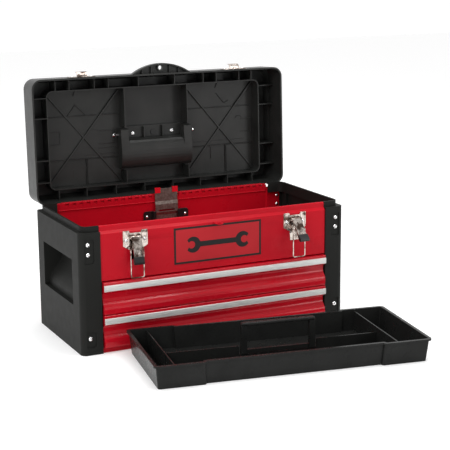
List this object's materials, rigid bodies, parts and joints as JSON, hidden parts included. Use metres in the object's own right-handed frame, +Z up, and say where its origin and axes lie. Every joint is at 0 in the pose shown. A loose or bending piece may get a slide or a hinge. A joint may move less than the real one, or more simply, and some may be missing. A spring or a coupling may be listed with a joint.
{
  "type": "toolbox",
  "caption": "Portable steel and plastic toolbox with a hinged lid, toggle latches, sliding drawers and a lift-out divided tray.",
  "frame": {"origin": "centre of the toolbox's base, on the floor", "axes": "+X to the right seen from the front, +Y to the back, +Z up; the tray lies in front, towards -Y"},
  "size_m": [0.5312, 0.5767, 0.4554],
  "materials": {
    "black_body_plastic": "fine-grained moulded black polypropylene",
    "tray_plastic": "satin moulded black polypropylene",
    "black_grip_plastic": "satin black plastic",
    "red_paint": "satin red powder coat on steel",
    "badge_print": "printed panel, red with a black outline",
    "brushed_aluminium": "brushed lengthwise",
    "nickel_plate": "bright nickel plate",
    "grey_paint": "dark grey paint",
    "lock_steel": "dull zinc plate",
    "zinc_steel": "bright zinc plate"
  },
  "bodies": {
    "carcass": {"end_cap_left": "black_body_plastic", "end_cap_right": "black_body_plastic", "front_panel": "red_paint", "back_panel": "red_paint", "base_pan": "red_paint", "compartment_floor": "red_paint", "side_plate_left": "grey_paint", "side_plate_right": "grey_paint", "drawer_rails": "zinc_steel", "cap_rivets_front": "zinc_steel", "cap_rivets_rear": "zinc_steel", "hinge_leaf_body": "red_paint", "hinge_pin": "zinc_steel", "latch_plate_left": "nickel_plate", "latch_plate_right": "nickel_plate", "latch_rivets": "zinc_steel", "badge_plate": "badge_print", "padlock_lug": "red_paint", "lock_guides": "black_grip_plastic", "lock_guide_rivets": "zinc_steel", "lever_pin_left": "nickel_plate", "lever_pin_right": "nickel_plate"},
    "lid": {"lid_shell": "black_body_plastic", "lid_ribs": "black_body_plastic", "hinge_leaf_lid": "red_paint", "keeper_left": "nickel_plate", "keeper_right": "nickel_plate", "keeper_rivets": "zinc_steel", "handle_cover": "black_body_plastic", "cover_screws": "zinc_steel", "handle_pins": "zinc_steel"},
    "handle": {"carry_handle": "black_grip_plastic"},
    "upper_drawer": {"drawer_upper_box": "grey_paint", "drawer_upper_front": "red_paint", "drawer_upper_trim": "brushed_aluminium", "drawer_upper_slides": "zinc_steel"},
    "lower_drawer": {"drawer_lower_box": "grey_paint", "drawer_lower_front": "red_paint", "drawer_lower_trim": "brushed_aluminium", "drawer_lower_slides": "zinc_steel"},
    "left_lever": {"lever_left": "nickel_plate", "lever_tip_left": "black_grip_plastic"},
    "left_trunnion": {"trunnion_left": "nickel_plate"},
    "left_bail": {"bail_left": "nickel_plate"},
    "right_lever": {"lever_right": "nickel_plate", "lever_tip_right": "black_grip_plastic"},
    "right_trunnion": {"trunnion_right": "nickel_plate"},
    "right_bail": {"bail_right": "nickel_plate"},
    "lock": {"lock_plate": "lock_steel", "lock_clips": "red_paint"},
    "tray": {"tray": "tray_plastic", "tray_handle": "tray_plastic"}
  },
  "joints": [
    {"name": "lid_hinge", "type": "hinge", "parent": "carcass", "child": "lid", "pos_m": [0, 0.113, 0.2135], "axis": [1, 0, 0], "range_deg": [0, 92]},
    {"name": "handle_swing", "type": "hinge", "parent": "lid", "child": "handle", "pos_m": [0, 0.16484, 0.32276], "axis": [1, 0, 0], "range_deg": [0, 95]},
    {"name": "upper_drawer_slide", "type": "slide", "parent": "carcass", "child": "upper_drawer", "axis": [0, -1, 0], "range_m": [0, 0.16]},
    {"name": "lower_drawer_slide", "type": "slide", "parent": "carcass", "child": "lower_drawer", "axis": [0, -1, 0], "range_m": [0, 0.16]},
    {"name": "lock_slide", "type": "slide", "parent": "carcass", "child": "lock", "axis": [0, 0, -1], "range_m": [0, 0.008]},
    {"name": "tray_lift", "type": "slide", "parent": "lower_drawer", "child": "tray", "axis": [0, -0.5, 0.866], "range_m": [0, 0.25]},
    {"name": "left_lever_hinge", "type": "hinge", "parent": "carcass", "child": "left_lever", "pos_m": [-0.151, -0.1185, 0.194], "axis": [-1, 0, 0], "range_deg": [-8, 100]},
    {"name": "left_trunnion_turn", "type": "hinge", "parent": "left_lever", "child": "left_trunnion", "pos_m": [-0.151, -0.12055, 0.17659], "axis": [-1, 0, 0], "range_deg": [-100, 8]},
    {"name": "left_bail_swing", "type": "hinge", "parent": "left_trunnion", "child": "left_bail", "pos_m": [-0.151, -0.12055, 0.17659], "axis": [-1, 0, 0], "range_deg": [0, 175]},
    {"name": "right_lever_hinge", "type": "hinge", "parent": "carcass", "child": "right_lever", "pos_m": [0.151, -0.1185, 0.194], "axis": [-1, 0, 0], "range_deg": [-38, 70]},
    {"name": "right_trunnion_turn", "type": "hinge", "parent": "right_lever", "child": "right_trunnion", "pos_m": [0.151, -0.12898, 0.17995], "axis": [-1, 0, 0], "range_deg": [-70, 38]},
    {"name": "right_bail_swing", "type": "hinge", "parent": "right_trunnion", "child": "right_bail", "pos_m": [0.151, -0.12898, 0.17995], "axis": [-1, 0, 0], "range_deg": [0, 175]}
  ],
  "couplings": [
    {"joint": "lock_slide", "follows": "lid_hinge", "m_per_rad": 0.0049},
    {"joint": "left_trunnion_turn", "follows": "left_lever_hinge", "ratio": -1},
    {"joint": "right_trunnion_turn", "follows": "right_lever_hinge", "ratio": -1}
  ]
}
